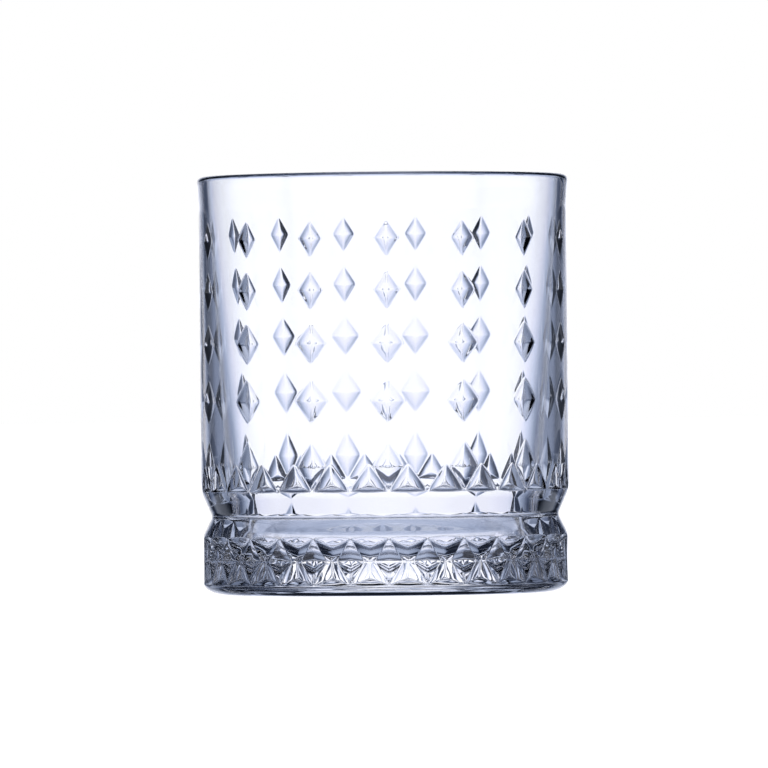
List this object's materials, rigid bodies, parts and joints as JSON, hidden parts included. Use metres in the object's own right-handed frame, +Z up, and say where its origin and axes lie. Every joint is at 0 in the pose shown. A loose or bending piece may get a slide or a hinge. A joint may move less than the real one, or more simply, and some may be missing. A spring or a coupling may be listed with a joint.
{
  "type": "whiskey tumbler",
  "caption": "Straight pressed-glass tumbler with columns of sunk diamonds, a pinched waist, a faceted foot and a solid base.",
  "frame": {"origin": "centre of the underside, on the surface that the tumbler stands on", "axes": "+Z up the axis of the bowl towards the lip; a column of diamonds faces -Y"},
  "size_m": [0.0844, 0.0844, 0.095],
  "materials": {
    "clear_glass": "fire-polished, clear"
  },
  "bodies": {
    "root": {"rim": "clear_glass", "bowl": "clear_glass", "waist": "clear_glass", "foot": "clear_glass", "base": "clear_glass"}
  },
  "joints": []
}
